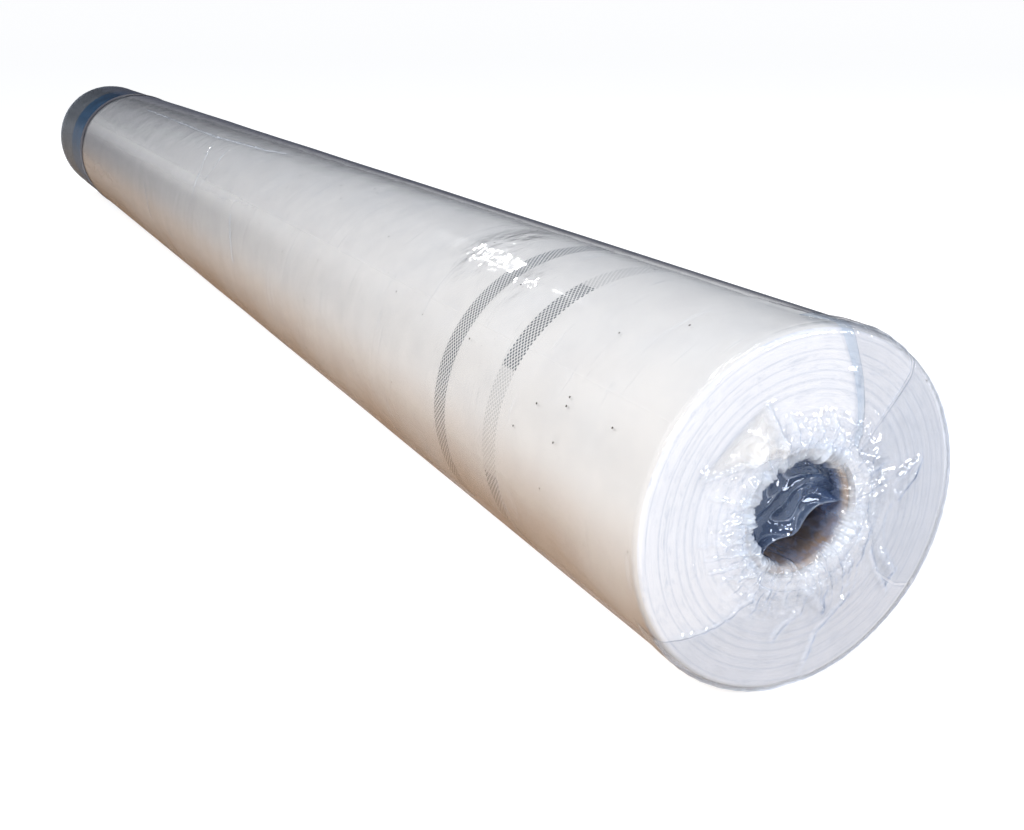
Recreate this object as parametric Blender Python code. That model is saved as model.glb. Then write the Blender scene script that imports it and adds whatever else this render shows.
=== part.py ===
"""Roll of anti-condensation membrane: a nonwoven sheet wound on a cardboard core,
closed by a tape band and packed in clear film that is gathered into the bore at both ends.

Metres, +Z up. The roll lies along X with its printed end at +X.
The origin is under the middle of the roll, on the surface that it rests on.
"""
import math

import bmesh
import bpy

# The wound sheet
membrane_width = 1.5
winding_diameter = 0.1423
sheet_thickness = 0.00028
sheet_air_gap = 0.00045
outer_turns = 1.15
tail_angle = math.radians(-36)
edge_curl = 0.0035
face_ridge = 0.0007
face_ridge_shares = (0.08, 0.16, 0.30, 0.40, 0.52, 0.61, 0.76, 0.84, 0.93)
bore_edge_bevel = 0.001

# The cardboard core and the tape that holds the sheet's first edge to it
core_outer_diameter = 0.050
core_wall = 0.003
core_recess = 0.003
core_edge_bevel = 0.0006
start_tape_width = 0.019
start_tape_thickness = 0.00015
start_tape_end_margin = 0.020
start_tape_angle = math.radians(90)

# The tape band round the wound roll
band_width = 0.075
band_thickness = 0.00015
band_from_far_end = 0.108
band_lap_length = 0.040
band_lap_angle = math.radians(-60)
band_draw_in_length = 0.006

# The clear film
film_thickness = 0.0002
wrap_length = 0.204
hem_width = 0.004
hem_height = 0.0008
seam_angle = math.radians(108)
seam_width = 0.003
seam_height = 0.0005
gather_height = 0.0018
near_tuck_depth = 0.045
far_tuck_depth = 0.030
broad_fold_height = 0.0012
broad_fold_width = math.radians(30)
near_fold_angles = (math.radians(66), math.radians(216), math.radians(318))
far_fold_angles = (math.radians(24), math.radians(138), math.radians(246))

# How the pieces lie against each other and on the ground
fit_clearance = 0.0003
rest_flat_depth = 0.0005

# Round pieces share one set of angles, so that nested walls keep their gap
gather_count = 20
gather_height_shares = (0.0, 1.0, 0.4)
throat_share_lost = 0.4
face_path_shares = (0.3, 0.55, 0.75, 0.9)
ring_steps = gather_count * len(gather_height_shares)
step_angle = 2 * math.pi / ring_steps
curve_steps = 2

# Places that follow from the sizes above
half_width = membrane_width / 2
winding_radius = winding_diameter / 2
core_radius = core_outer_diameter / 2
core_bore_radius = core_radius - core_wall
winding_bore_radius = core_radius + fit_clearance
turn_pitch = sheet_thickness + sheet_air_gap
inner_turns_radius = winding_radius - sheet_thickness - outer_turns * turn_pitch - fit_clearance
band_draw_in = 2 * band_thickness + fit_clearance
film_radius = winding_radius + fit_clearance + film_thickness
film_face = half_width + fit_clearance + film_thickness
film_edge_curl = edge_curl + fit_clearance + film_thickness
throat_curl = core_recess + fit_clearance + film_thickness
throat_radius = core_bore_radius - fit_clearance - film_thickness
axis_height = film_radius - rest_flat_depth
wrap_edge = wrap_length - half_width


def clear_scene():
    for item in list(bpy.data.objects):
        bpy.data.objects.remove(item, do_unlink=True)


def make_material(name, colour, roughness, alpha=1.0):
    material = bpy.data.materials.new(name)
    material.use_nodes = True
    shader = material.node_tree.nodes["Principled BSDF"]
    shader.inputs["Base Color"].default_value = (*colour, 1)
    shader.inputs["Roughness"].default_value = roughness
    shader.inputs["Metallic"].default_value = 0
    shader.inputs["Alpha"].default_value = alpha
    return material


def membrane_material():
    return make_material("membrane_nonwoven", (0.79, 0.80, 0.77), 0.85)


def cardboard_material():
    return make_material("core_cardboard", (0.42, 0.27, 0.15), 0.9)


def start_tape_material():
    return make_material("start_tape_film", (0.72, 0.66, 0.50), 0.4)


def band_material():
    return make_material("band_blue_tape", (0.08, 0.22, 0.40), 0.35)


def film_material():
    return make_material("clear_film", (0.80, 0.85, 0.92), 0.15, 0.35)


def flat_depth(radius):
    """The roll is pressed flat underneath by its weight, less so towards the core."""
    share = (radius - core_radius) / (winding_radius - edge_curl - core_radius)
    return rest_flat_depth * min(max(share, 0), 1)


def place(x, radius, angle):
    """A point at a radius and an angle round the roll, 90 degrees being the top."""
    lowest = axis_height - radius + flat_depth(radius)
    height = axis_height + radius * math.sin(angle)
    return (x, radius * math.cos(angle), max(height, lowest))


def finish_object(name, form, material):
    """Turns the faces outwards and puts the form into the scene under its name."""
    bmesh.ops.recalc_face_normals(form, faces=form.faces)
    mesh = bpy.data.meshes.new(name)
    form.to_mesh(mesh)
    form.free()
    mesh.materials.append(material)
    mesh.shade_smooth()
    mesh.set_sharp_from_angle(angle=math.radians(35))
    piece = bpy.data.objects.new(name, mesh)
    bpy.context.scene.collection.objects.link(piece)
    return piece


def loft(name, sections, material, closed=True):
    """A closed body through sections, which are loops with the same number of points."""
    form = bmesh.new()
    rows = [[form.verts.new(point) for point in section] for section in sections]
    following_rows = rows[1:] + rows[:1] if closed else rows[1:]
    for row, following in zip(rows, following_rows):
        for index, corner in enumerate(row):
            after = (index + 1) % len(row)
            form.faces.new((corner, row[after], following[after], following[index]))
    if not closed:
        form.faces.new(rows[0])
        form.faces.new(rows[-1])
    return finish_object(name, form, material)


def ring_angles():
    return [index * step_angle for index in range(ring_steps)]


def angle_between(angle, other):
    """How far apart two angles are, the short way round."""
    return abs((angle - other + math.pi) % (2 * math.pi) - math.pi)


def barrel_stations():
    """Places along the wound sheet and how far it is drawn in at each.

    Its edges curl in at both ends, and the tape band draws a shallow waist into it.
    """
    curl_step = edge_curl * (1 - math.cos(math.pi / 4))
    band_start = band_from_far_end - half_width
    band_end = band_start + band_width
    stations = [(-half_width + curl_step, curl_step), (-half_width + edge_curl, 0)]
    stations.append((band_start - band_draw_in_length, 0))
    stations.append((band_start - fit_clearance, band_draw_in))
    stations.append((band_end + fit_clearance, band_draw_in))
    stations.append((band_end + band_draw_in_length, 0))
    stations.append((half_width - edge_curl, 0))
    stations.append((half_width - curl_step, curl_step))
    return stations


def build_core():
    """The cardboard tube, turned from a profile with broken edges."""
    end = half_width - core_recess
    edge = core_edge_bevel
    corners = [
        (end, core_bore_radius + edge),
        (end, core_radius - edge),
        (end - edge, core_radius),
        (edge - end, core_radius),
        (-end, core_radius - edge),
        (-end, core_bore_radius + edge),
        (edge - end, core_bore_radius),
        (end - edge, core_bore_radius),
    ]
    form = bmesh.new()
    points = [form.verts.new((x, radius, axis_height)) for x, radius in corners]
    for index, point in enumerate(points):
        form.edges.new((point, points[(index + 1) % len(points)]))
    bmesh.ops.spin(
        form,
        geom=form.verts[:] + form.edges[:],
        cent=(0, 0, axis_height),
        axis=(1, 0, 0),
        angle=2 * math.pi,
        steps=ring_steps,
        use_merge=True,
    )
    return finish_object("cardboard_core", form, cardboard_material())


def under_start_tape(angle):
    """True where the wound sheet passes over the tape on the core."""
    half_tape = start_tape_width / core_outer_diameter
    return angle_between(angle, start_tape_angle) < half_tape + step_angle


def build_start_tape():
    """The strip that holds the sheet's first edge to the core, along the whole roll."""
    end = half_width - start_tape_end_margin
    low = core_radius + fit_clearance
    high = low + start_tape_thickness
    half_tape = start_tape_width / core_outer_diameter
    steps = max(2, round(2 * half_tape / step_angle))
    sections = []
    for index in range(steps + 1):
        angle = start_tape_angle - half_tape + 2 * half_tape * index / steps
        corners = [(-end, low), (end, low), (end, high), (-end, high)]
        sections.append([place(x, radius, angle) for x, radius in corners])
    return loft("start_tape", sections, start_tape_material(), closed=False)


def end_face(side, bore_radius):
    """One end of the wound turns, from its outer edge in: bands of turns stand proud."""
    outer = inner_turns_radius - edge_curl
    inner = bore_radius + bore_edge_bevel
    points = [(side * half_width, outer)]
    for index, share in enumerate(reversed(face_ridge_shares)):
        inset = face_ridge if index % 2 == 0 else 0
        points.append((side * (half_width - inset), inner + share * (outer - inner)))
    points.append((side * half_width, inner))
    points.append((side * (half_width - bore_edge_bevel), bore_radius))
    return points


def build_inner_turns():
    """The plain body of wound turns between the core and the outer layer."""
    sections = []
    for angle in ring_angles():
        bore_radius = winding_bore_radius
        if under_start_tape(angle):
            bore_radius += start_tape_thickness + fit_clearance
        barrel = [(x, inner_turns_radius - inset) for x, inset in barrel_stations()[1:-1]]
        profile = barrel + end_face(1, bore_radius) + list(reversed(end_face(-1, bore_radius)))
        sections.append([place(x, radius, angle) for x, radius in profile])
    return loft("membrane_inner_turns", sections, membrane_material())


def spiral_radius(turn):
    """The inside of the outer layer, that many turns after it leaves the inner turns."""
    return inner_turns_radius + fit_clearance + turn * turn_pitch


def build_outer_turns():
    """The outer layer, one unbroken spiral of sheet that ends in the roll's free edge."""
    steps = round(outer_turns * ring_steps)
    start_angle = tail_angle - steps * step_angle
    sections = []
    for index in range(steps + 1):
        angle = start_angle + index * step_angle
        inside = spiral_radius(index / ring_steps)
        outside = inside + sheet_thickness
        stations = barrel_stations()
        outer = [place(x, outside - inset, angle) for x, inset in stations]
        inner = [place(x, inside - inset, angle) for x, inset in reversed(stations)]
        sections.append(outer + inner)
    print_least_gap(sections)
    return loft("membrane_outer_turns", sections, membrane_material(), closed=False)


def print_least_gap(sections):
    """Prints how near the outer layer comes to itself, measured point to point."""
    count = len(barrel_stations())
    gaps = []
    for section, above in zip(sections, sections[ring_steps:]):
        outer = section[:count]
        inner = list(reversed(above[count:]))
        gaps += [math.dist(low, high) for low, high in zip(outer, inner)]
    if gaps:
        print("least gap of the outer layer to itself, mm:", round(min(gaps) * 1000, 3))


def build_tape_band():
    """The tape band that keeps the roll from unwinding, doubled where its ends lap."""
    start = band_from_far_end - half_width
    end = start + band_width
    low = winding_radius - band_draw_in + fit_clearance
    half_lap = band_lap_length / winding_diameter
    sections = []
    for angle in ring_angles():
        lapped = angle_between(angle, band_lap_angle) < half_lap
        high = low + band_thickness * (2 if lapped else 1)
        corners = [(start, low), (start, high), (end, high), (end, low)]
        sections.append([place(x, radius, angle) for x, radius in corners])
    return loft("blue_tape_band", sections, band_material())


def sleeve_angles():
    """The shared angles, with three of its own where the lengthwise seam stands up."""
    half_seam = seam_width / 2 / film_radius
    seam = [seam_angle - half_seam, seam_angle, seam_angle + half_seam]
    clear = [angle for angle in ring_angles() if angle_between(angle, seam_angle) > 2 * half_seam]
    return sorted(clear + seam)


def build_film_sleeve():
    """The clear film along the barrel, from the near edge to the far wrap."""
    start = wrap_edge + fit_clearance
    end = film_face - film_edge_curl - fit_clearance
    inside = film_radius - film_thickness
    sections = []
    for angle in sleeve_angles():
        outside = film_radius + (seam_height if angle == seam_angle else 0)
        corners = [(start, inside), (start, outside), (end, outside), (end, inside)]
        sections.append([place(x, radius, angle) for x, radius in corners])
    return loft("film_sleeve", sections, film_material())


def hem_rise(angle):
    """The rolled hem is pressed flat where the roll rests on it."""
    beside_flat = angle_between(angle, -math.pi / 2) < 3 * step_angle
    return 0 if beside_flat else hem_height


def build_far_wrap():
    """The second length of film round the far end, with a rolled hem at its edge."""
    start = film_edge_curl - film_face + fit_clearance
    inside = film_radius - film_thickness
    sections = []
    for angle in ring_angles():
        crest = film_radius + hem_rise(angle)
        profile = [
            (wrap_edge, inside),
            (wrap_edge, film_radius),
            (wrap_edge - hem_width / 4, crest),
            (wrap_edge - hem_width * 3 / 4, crest),
            (wrap_edge - hem_width, film_radius),
            (start, film_radius),
            (start, inside),
        ]
        sections.append([place(x, radius, angle) for x, radius in profile])
    return loft("far_film_wrap", sections, film_material())


def end_film_path(tuck_depth):
    """The gathered film's middle line, as place, radius, outward normal and gather share."""
    wall = film_thickness / 2
    path = []
    for index in range(curve_steps + 1):
        turn = math.pi / 2 * index / curve_steps
        radius = film_edge_curl - wall
        x = film_face - film_edge_curl + radius * math.sin(turn)
        path.append((x, film_radius - film_edge_curl + radius * math.cos(turn), turn, 0))
    outer = film_radius - film_edge_curl
    inner = throat_radius + throat_curl
    for share in face_path_shares:
        radius = outer + share * (inner - outer)
        path.append((film_face - wall, radius, math.pi / 2, share ** 2))
    for index in range(curve_steps + 1):
        turn = math.pi / 2 * index / curve_steps
        radius = throat_curl - wall
        x = film_face - throat_curl + radius * math.cos(turn)
        share = 1 - throat_share_lost * math.sin(turn)
        path.append((x, inner - radius * math.sin(turn), math.pi / 2 + turn, share))
    throat = film_face - throat_curl
    for depth in (tuck_depth / 2, tuck_depth):
        path.append((throat - depth, throat_radius + wall, math.pi, 1 - throat_share_lost))
    return path


def fold_rise(angle, fold_angles):
    """The broad folds that lie across the face, from the edge to the bore."""
    nearest = min(angle_between(angle, fold) for fold in fold_angles)
    share = max(0, 1 - 2 * nearest / broad_fold_width)
    return broad_fold_height * share


def build_end_film(name, side, tuck_depth, fold_angles):
    """The film gathered over one end: its pleats deepen towards the bore and go in."""
    sections = []
    for index, angle in enumerate(ring_angles()):
        pleat = gather_height_shares[index % len(gather_height_shares)] * gather_height
        rise = pleat + fold_rise(angle, fold_angles)
        outer = []
        inner = []
        for x, radius, turn, share in end_film_path(tuck_depth):
            for line, wall in ((outer, film_thickness / 2), (inner, -film_thickness / 2)):
                lift = wall + rise * share
                far = x + lift * math.sin(turn)
                line.append(place(side * far, radius + lift * math.cos(turn), angle))
        sections.append(outer + inner[::-1])
    return loft(name, sections, film_material())


def build_roll():
    clear_scene()
    build_core()
    build_start_tape()
    build_inner_turns()
    build_outer_turns()
    build_tape_band()
    build_film_sleeve()
    build_far_wrap()
    build_end_film("near_end_film", 1, near_tuck_depth, near_fold_angles)
    build_end_film("far_end_film", -1, far_tuck_depth, far_fold_angles)


build_roll()
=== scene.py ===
# %% [markdown]
# # A roll of anti-condensation membrane in its clear film
#
# This lesson dresses a roll of nonwoven sheet: the wound sheet with its dotted lap lines,
# the cardboard core, the blue tape band, and the clear film that is shrunk over it and
# tucked into the bore. The construction, with every real size, is a fixed frame that the
# first cell loads. Each later cell makes one piece or one finish and says why it is made so.

# %% Load the frame
import math

import bmesh
import bpy
from mathutils import Matrix, Vector, noise


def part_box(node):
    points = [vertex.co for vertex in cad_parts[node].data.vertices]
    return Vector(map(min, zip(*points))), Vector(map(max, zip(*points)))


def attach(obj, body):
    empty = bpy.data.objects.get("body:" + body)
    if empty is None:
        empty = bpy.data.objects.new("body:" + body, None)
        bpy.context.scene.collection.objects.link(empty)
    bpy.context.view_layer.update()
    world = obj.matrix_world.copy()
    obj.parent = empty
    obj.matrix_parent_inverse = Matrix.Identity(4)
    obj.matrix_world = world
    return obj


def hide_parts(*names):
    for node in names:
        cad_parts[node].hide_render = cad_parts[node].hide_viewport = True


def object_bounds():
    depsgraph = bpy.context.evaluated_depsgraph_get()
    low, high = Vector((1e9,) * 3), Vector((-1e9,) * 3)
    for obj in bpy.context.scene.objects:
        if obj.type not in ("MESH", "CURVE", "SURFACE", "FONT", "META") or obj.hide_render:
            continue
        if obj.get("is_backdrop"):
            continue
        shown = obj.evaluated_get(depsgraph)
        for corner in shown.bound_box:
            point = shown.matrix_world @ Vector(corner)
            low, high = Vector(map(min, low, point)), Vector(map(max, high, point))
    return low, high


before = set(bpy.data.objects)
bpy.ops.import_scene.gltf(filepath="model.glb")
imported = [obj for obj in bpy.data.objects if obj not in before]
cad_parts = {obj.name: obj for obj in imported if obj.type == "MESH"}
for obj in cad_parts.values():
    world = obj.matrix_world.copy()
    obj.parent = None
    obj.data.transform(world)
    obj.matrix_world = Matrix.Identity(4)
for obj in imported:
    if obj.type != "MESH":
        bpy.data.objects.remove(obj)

cad_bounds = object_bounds()
print("nodes:", sorted(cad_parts))

# %% [markdown]
# ## Sizes
#
# Every size that the frame holds is read from it, so that each dressed piece lies where
# the construction has it. The roll lies along X. An angle of 90 degrees is its top, and
# 180 degrees faces the camera's side. Only what the frame can't hold is given by hand.

# %% Read the sizes
core_low, core_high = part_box("cardboard_core")
turns_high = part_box("membrane_inner_turns")[1]
layer_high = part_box("membrane_outer_turns")[1]
sleeve_low, sleeve_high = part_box("film_sleeve")
wrap_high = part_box("far_film_wrap")[1]
band_low, band_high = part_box("blue_tape_band")

millimetre = 0.001
axis_height = (core_low[2] + core_high[2]) / 2
half_width = turns_high[0]
core_radius = core_high[1]
core_end = core_high[0]
core_wall = 3 * millimetre
turns_radius = turns_high[1]
layer_radius = layer_high[1]
film_radius = sleeve_high[1]
wrap_edge = wrap_high[0]
film_thickness = 0.1 * millimetre
film_face = half_width + 0.5 * millimetre
edge_curl = 3.4 * millimetre
throat_curl = film_face - core_end
throat_radius = core_radius - core_wall - 0.5 * millimetre
flat_depth = film_radius - axis_height

print("roll, mm:", round(2000 * half_width), "long,", round(2000 * film_radius, 1), "across")

# %% [markdown]
# ## The camera
#
# The photograph was taken close to the near end, a little above the roll, so the far end
# shrinks strongly. The place and angle below were fitted to its outlines. A camera that
# looks along +Y stands at a turn of 0 about Z, and is tipped down from the horizon.

# %% Set the camera
camera_place = (1.07396, -0.27851, 0.24744)
camera_turn = math.radians(63.686)
camera_down = math.radians(18.429)
camera_lens = 43.094

camera_data = bpy.data.cameras.new("photograph_camera")
camera_data.sensor_fit = "HORIZONTAL"
camera_data.sensor_width = 36
camera_data.lens = camera_lens
camera_data.clip_start = 0.01
camera = bpy.data.objects.new("photograph_camera", camera_data)
camera.location = camera_place
camera.rotation_euler = (math.pi / 2 - camera_down, 0, camera_turn)
bpy.context.scene.collection.objects.link(camera)
bpy.context.scene.camera = camera
bpy.context.scene.view_settings.view_transform = "Standard"

# %% [markdown]
# ## Wiring a material
#
# A material is a graph of nodes. Small helpers keep the finishes below readable: one adds
# a node and sets or wires its inputs, the others do the same for a sum, a mix, a noise, a
# distance, a bump, and for the plain shader that ends most of the graphs.

# %% Helpers for materials
def wire(tree, kind, values, **settings):
    """Adds a node. values maps an input to a constant or to another node's output."""
    made = tree.nodes.new(kind)
    for name, setting in settings.items():
        setattr(made, name, setting)
    for socket, value in values.items():
        if isinstance(value, bpy.types.NodeSocket):
            tree.links.new(value, made.inputs[socket])
        else:
            made.inputs[socket].default_value = value
    return made


def calc(tree, operation, first, second=0.0, third=0.0):
    """The result of one sum on numbers, each a constant or another node's output."""
    values = {0: first, 1: second, 2: third}
    return wire(tree, "ShaderNodeMath", values, operation=operation).outputs[0]


def product(tree, first, *others):
    """Several numbers multiplied."""
    for other in others:
        first = calc(tree, "MULTIPLY", first, other)
    return first


def total(tree, first, *others):
    """Several numbers added."""
    for other in others:
        first = calc(tree, "ADD", first, other)
    return first


def off_middle(tree, value, middle):
    """How far a number is from another."""
    return calc(tree, "ABSOLUTE", calc(tree, "SUBTRACT", value, middle))


def blend_colour(tree, share, first, second):
    """A mix of two colours."""
    values = {0: share, 6: first, 7: second}
    return wire(tree, "ShaderNodeMix", values, data_type="RGBA").outputs[2]


def mix_shaders(tree, share, first, second):
    """A node that mixes two shader nodes."""
    values = {0: share, 1: first.outputs[0], 2: second.outputs[0]}
    return wire(tree, "ShaderNodeMixShader", values)


def ramp(tree, value, low, high, start=0.0, end=1.0):
    """A value taken smoothly from start to end while the input goes from low to high."""
    values = {0: value, 1: low, 2: high, 3: start, 4: end}
    node = wire(tree, "ShaderNodeMapRange", values, interpolation_type="SMOOTHSTEP")
    return node.outputs[0]


def start_material(name):
    """A material with an empty graph, its output, and the piece's own coordinates."""
    material = bpy.data.materials.new(name)
    material.use_nodes = True
    tree = material.node_tree
    tree.nodes.clear()
    output = tree.nodes.new("ShaderNodeOutputMaterial")
    place = tree.nodes.new("ShaderNodeTexCoord").outputs["Object"]
    return material, tree, output, place


def noise_at(tree, place, scale, detail=3.0, roughness=0.5):
    """Soft noise, with scale in features for each metre."""
    values = {"Vector": place, "Scale": scale, "Detail": detail, "Roughness": roughness}
    return wire(tree, "ShaderNodeTexNoise", values).outputs[0]


def stretch(tree, place, scale, turn=(0, 0, 0), middle=(0, 0, 0)):
    """The piece's coordinates, moved to a middle, turned and stretched."""
    values = {"Vector": place, "Location": middle, "Rotation": turn, "Scale": scale}
    return wire(tree, "ShaderNodeMapping", values, vector_type="TEXTURE").outputs[0]


def axes_of(tree, place):
    """The three coordinates of a point."""
    return wire(tree, "ShaderNodeSeparateXYZ", {0: place}).outputs


def away_from(tree, place, spot):
    """Distance of a point from a spot."""
    values = {0: place, 1: spot}
    return wire(tree, "ShaderNodeVectorMath", values, operation="DISTANCE").outputs[1]


def from_axis(tree, place):
    """Distance of a point from the roll's axis."""
    axes = axes_of(tree, stretch(tree, place, (1, 1, 1), (0, 0, 0), (0, 0, axis_height)))
    flat = wire(tree, "ShaderNodeCombineXYZ", {1: axes[1], 2: axes[2]}).outputs[0]
    return wire(tree, "ShaderNodeVectorMath", {0: flat}, operation="LENGTH").outputs[1]


def bump_of(tree, strength, depth, height):
    """The bent normal of a surface with a fine relief."""
    values = {"Strength": strength, "Distance": depth, "Height": height}
    return wire(tree, "ShaderNodeBump", values).outputs[0]


def end_plain(tree, output, colour, roughness, bump=None, gloss=0.5):
    """Ends a graph with one plain shader."""
    values = {"Base Color": colour, "Roughness": roughness, "Specular IOR Level": gloss}
    if bump is not None:
        values["Normal"] = bump
    shader = wire(tree, "ShaderNodeBsdfPrincipled", values)
    tree.links.new(shader.outputs[0], output.inputs[0])


# %% [markdown]
# ## The membrane's finish
#
# The sheet is a white spunbonded nonwoven: matt, slightly mottled, with a fine fibrous
# grain. Near one edge two lap lines are printed as a halftone of round slate dots, one
# unbroken and one in dashes of 50 mm. They climb a little round the roll, as the sheet
# isn't wound quite square. They could be painted into an image, but a rule scales better:
# unroll the barrel into a length along it and a length round it, repeat a square cell in
# both, and keep a dot at the cell's middle and one at its corners.

# %% The membrane's finish
sheet_white = (0.80, 0.79, 0.755, 1)
sheet_grey = (0.75, 0.74, 0.71, 1)
print_slate = (0.04, 0.055, 0.065, 1)
sheet_gloss = 0.2
dot_cell = 2.5 * millimetre
dot_radius_share = 0.262
line_width = 12.5 * millimetre
unbroken_line = half_width - 170 * millimetre
dashed_line = half_width - 117 * millimetre
line_slant = 0.066
dash_length = 50 * millimetre
dash_start_angle = math.radians(151.8)
tail_angle = math.radians(-36)


def unrolled(tree, place):
    """Length along the roll and length round it, cut open at the sheet's free edge."""
    turn = (tail_angle + math.pi, 0, 0)
    turned = stretch(tree, place, (1, 1, 1), turn, (0, 0, axis_height))
    axes = axes_of(tree, turned)
    angle = calc(tree, "ARCTAN2", axes[2], axes[1])
    return axes[0], product(tree, angle, film_radius)


def halftone(tree, along, round_it):
    """1 inside a dot: a square lattice with a second dot in the middle of each cell."""
    nearest = []
    for shift in (0.0, 0.5):
        across = calc(tree, "MULTIPLY_ADD", along, 1 / dot_cell, shift)
        down = calc(tree, "MULTIPLY_ADD", round_it, 1 / dot_cell, shift)
        cell = wire(tree, "ShaderNodeCombineXYZ", {0: across, 1: down}).outputs[0]
        inside = wire(tree, "ShaderNodeVectorMath", {0: cell}, operation="FRACTION").outputs[0]
        nearest.append(away_from(tree, inside, (0.5, 0.5, 0)))
    closest = calc(tree, "MINIMUM", nearest[0], nearest[1])
    return ramp(tree, closest, dot_radius_share * 0.85, dot_radius_share * 1.15, 1.0, 0.0)


def line_band(tree, along, middle):
    """1 within the width of a printed line."""
    return calc(tree, "LESS_THAN", off_middle(tree, along, middle), line_width / 2)


def dashes(tree, round_it):
    """1 along a dash and 0 along the gap after it."""
    dash_start = (dash_start_angle - tail_angle - math.pi) * film_radius
    offset = calc(tree, "SUBTRACT", round_it, dash_start)
    count = calc(tree, "DIVIDE", offset, 2 * dash_length)
    return calc(tree, "GREATER_THAN", calc(tree, "FRACT", count), 0.5)


def lap_lines(tree, place):
    """How much print covers the sheet: the turn below shows faintly between the dashes."""
    straight, round_it = unrolled(tree, place)
    along = calc(tree, "MULTIPLY_ADD", round_it, line_slant, straight)
    dots = halftone(tree, along, round_it)
    dashed = calc(tree, "MULTIPLY_ADD", dashes(tree, round_it), 0.66, 0.34)
    second = product(tree, line_band(tree, along, dashed_line), dashed)
    both = calc(tree, "MAXIMUM", line_band(tree, along, unbroken_line), second)
    ink, wash = product(tree, both, dots, 0.95), product(tree, both, 0.05)
    return calc(tree, "MAXIMUM", ink, wash)


def membrane_finish():
    """The printed sheet: mottled white, with fibres."""
    material, tree, output, place = start_material("membrane_printed")
    mottle = noise_at(tree, place, 45, 4.0)
    fibre_place = stretch(tree, place, (0.35, 1, 1))
    fibres = noise_at(tree, fibre_place, 900, 3.0, 0.7)
    cloud = total(tree, product(tree, mottle, 0.7), product(tree, fibres, 0.3))
    colour = blend_colour(tree, ramp(tree, cloud, 0.35, 0.70), sheet_white, sheet_grey)
    colour = blend_colour(tree, lap_lines(tree, place), colour, print_slate)
    bump = bump_of(tree, 0.25, 0.2 * millimetre, fibres)
    end_plain(tree, output, colour, 0.9, bump, sheet_gloss)
    return material


printed_membrane = membrane_finish()
print("lap lines at", round((half_width - unbroken_line) * 1000), "and",
      round((half_width - dashed_line) * 1000), "mm from the edge")

# %% [markdown]
# ## Turned pieces
#
# Nearly every piece is round, so one helper spins a profile about the roll's axis. Each
# point of the profile carries a number, its way along the profile, and the spin copies
# it, so that later cells can find a point again and move it. The weight of the roll
# presses a narrow flat under it, 0.5 mm deep, and every round piece gets the same flat.

# %% Spin a profile and press the flat

def round_place(x, reach, angle):
    """The point at a length along the roll, a distance from its axis and an angle."""
    return Vector((x, reach * math.cos(angle), axis_height + reach * math.sin(angle)))


def angle_of(point):
    """The angle of a mesh point round the roll's axis."""
    return math.atan2(point.co.z - axis_height, point.co.y)


def uneven(*place):
    """Soft noise at a place, from about -1 to 1."""
    return noise.noise(Vector(place))


def spin_profile(profile, steps, closed):
    """Spins (length along X, radius, way along) points once round the roll's axis."""
    form = bmesh.new()
    way = form.verts.layers.float.new("way")
    points = []
    for x, radius, along in profile:
        point = form.verts.new((x, radius, axis_height))
        point[way] = along
        points.append(point)
    following = points[1:] + points[:1] if closed else points[1:]
    for point, after in zip(points, following):
        form.edges.new((point, after))
    bmesh.ops.spin(
        form, geom=form.verts[:] + form.edges[:], cent=(0, 0, axis_height), axis=(1, 0, 0),
        angle=2 * math.pi, steps=steps, use_merge=True,
    )
    bmesh.ops.recalc_face_normals(form, faces=form.faces)
    return form


def press_flat(form):
    """Lifts what would lie below the roll's flat, by less towards the core."""
    for point in form.verts:
        radius = math.hypot(point.co.y, point.co.z - axis_height)
        share = min(max((radius - core_radius) / (turns_radius - core_radius), 0), 1)
        lowest = axis_height - radius + flat_depth * share
        point.co.z = max(point.co.z, lowest, 0.0)


def place_piece(name, form, material, replaced, smooth_angle=40):
    """Puts a finished form into the scene, riding on the roll in place of its solids."""
    mesh = bpy.data.meshes.new(name)
    form.to_mesh(mesh)
    form.free()
    mesh.materials.append(material)
    mesh.shade_smooth()
    mesh.set_sharp_from_angle(angle=math.radians(smooth_angle))
    piece = bpy.data.objects.new(name, mesh)
    bpy.context.scene.collection.objects.link(piece)
    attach(piece, "root")
    if replaced:
        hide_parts(*replaced)
    print(name, len(mesh.polygons), "faces")
    return piece


# %% [markdown]
# ## The wound turns
#
# Each end of the roll shows about 160 edges of the same sheet. They never line up: they
# lie in bands, some a little proud and some sunk, with a darker line where a gap opens.
# Modelling every turn would cost a million faces for something under a pixel wide, so the
# profile steps in bands a millimetre or less wide, and the finish draws the finer turns
# by distance from the axis. Its grey rings are painted shade in the gaps, darkest in the
# bands where the turns lie looser, with some random tone, and its white is painted a
# little cooler than the sheet, for the cool light on the face.

# %% The edges of the turns
ring_steps = 240
band_pitch = 0.9 * millimetre
band_relief = 0.28 * millimetre
mean_drift = 0.6 * millimetre
# The edge white below is painted a little cooler than the sheet, for the cool light on the face,
# and the edge shade is painted shade in the gaps between turns.
edge_white_painted_cool = (0.83, 0.845, 0.87, 1)
painted_gap_shade = (0.40, 0.47, 0.58, 1)
looser_bands = ((0.0375, 0.0008), (0.0478, 0.0012), (0.0512, 0.0010), (0.0545, 0.0008),
                (0.0585, 0.0006), (0.0622, 0.0007), (0.0675, 0.0007))


def band_height(radius, side):
    """How far a turn's edge stands out of the end face."""
    wander = uneven(radius * 420, side * 3.7, 0)
    broad = uneven(radius * 95, side * 8.1, 5)
    return band_relief * (0.55 * wander + 0.75 * broad - 0.6)


def end_face(side):
    """One end face from the bore outwards."""
    inner = core_radius + 0.3 * millimetre
    outer = turns_radius - 0.8 * millimetre
    count = int((outer - inner) / band_pitch) * 2
    points = [(side * (half_width - 1.5 * millimetre), inner, 0)]
    for index in range(count + 1):
        radius = inner + (outer - inner) * index / count
        points.append((side * (half_width + band_height(radius, side)), radius, 0))
    points.append((side * (half_width - 0.8 * millimetre), turns_radius, 0))
    return points


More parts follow.
